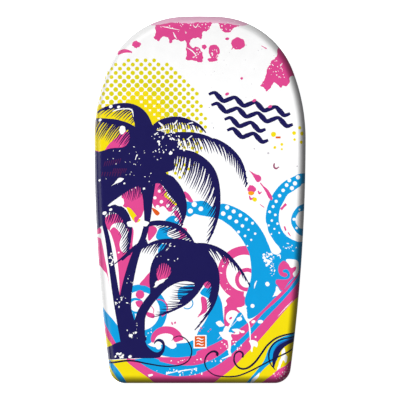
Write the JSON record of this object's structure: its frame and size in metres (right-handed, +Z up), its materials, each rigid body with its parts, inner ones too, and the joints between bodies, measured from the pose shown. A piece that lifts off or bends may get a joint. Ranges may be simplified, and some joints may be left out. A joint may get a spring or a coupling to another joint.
{
  "type": "bodyboard",
  "caption": "Child's bodyboard: foam core in a printed cloth deck wrap and a slick bottom sheet, rounded nose, straight tail, piped rail seam and slight nose lift.",
  "frame": {"origin": "on the surface that the board lies on, under the middle of its overall length and width", "axes": "+Z up out of the deck, +Y towards the nose, +X towards the right rail of a rider who faces the nose"},
  "size_m": [0.4846, 0.84, 0.0633],
  "materials": {
    "bead_foam": "white expanded polystyrene with fused beads",
    "sheet_foam": "fine closed-cell polyethylene foam sheet",
    "printed_cloth": "smooth white woven polyester with a navy, cyan, pink and yellow tropical print",
    "slick_plastic": "cyan polyethylene sheet, satin with fine grain",
    "cord": "white extruded filler cord",
    "binding_tape": "navy woven polyester tape",
    "thread": "white polyester sewing thread"
  },
  "bodies": {
    "root": {"foam_core": "bead_foam", "deck_underlay": "sheet_foam", "deck_cover": "printed_cloth", "bottom_underlay": "sheet_foam", "bottom_slick": "slick_plastic", "piping_cord": "cord", "piping_tape": "binding_tape", "needle_stitches": "thread", "bobbin_stitches": "thread"}
  },
  "joints": []
}
